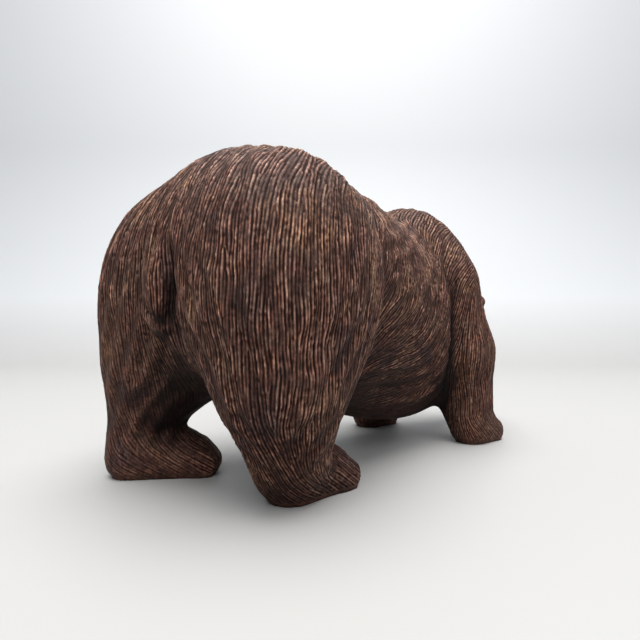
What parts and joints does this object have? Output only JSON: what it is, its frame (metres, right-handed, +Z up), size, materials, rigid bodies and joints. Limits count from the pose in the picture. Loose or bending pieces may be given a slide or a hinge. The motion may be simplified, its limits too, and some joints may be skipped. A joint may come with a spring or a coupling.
{
  "type": "carved wooden bear",
  "caption": "Wooden figure of a bear walking on all fours with its head low, carved in one piece with combed fur, standing flat on its paws.",
  "frame": {"origin": "on the ground under the middle of the figure's box, between the paws", "axes": "+X the way the bear walks, +Y to its left, +Z up"},
  "size_m": [0.2002, 0.096, 0.1074],
  "materials": {
    "wood": "satin"
  },
  "bodies": {
    "root": {"bear": "wood"}
  },
  "joints": []
}
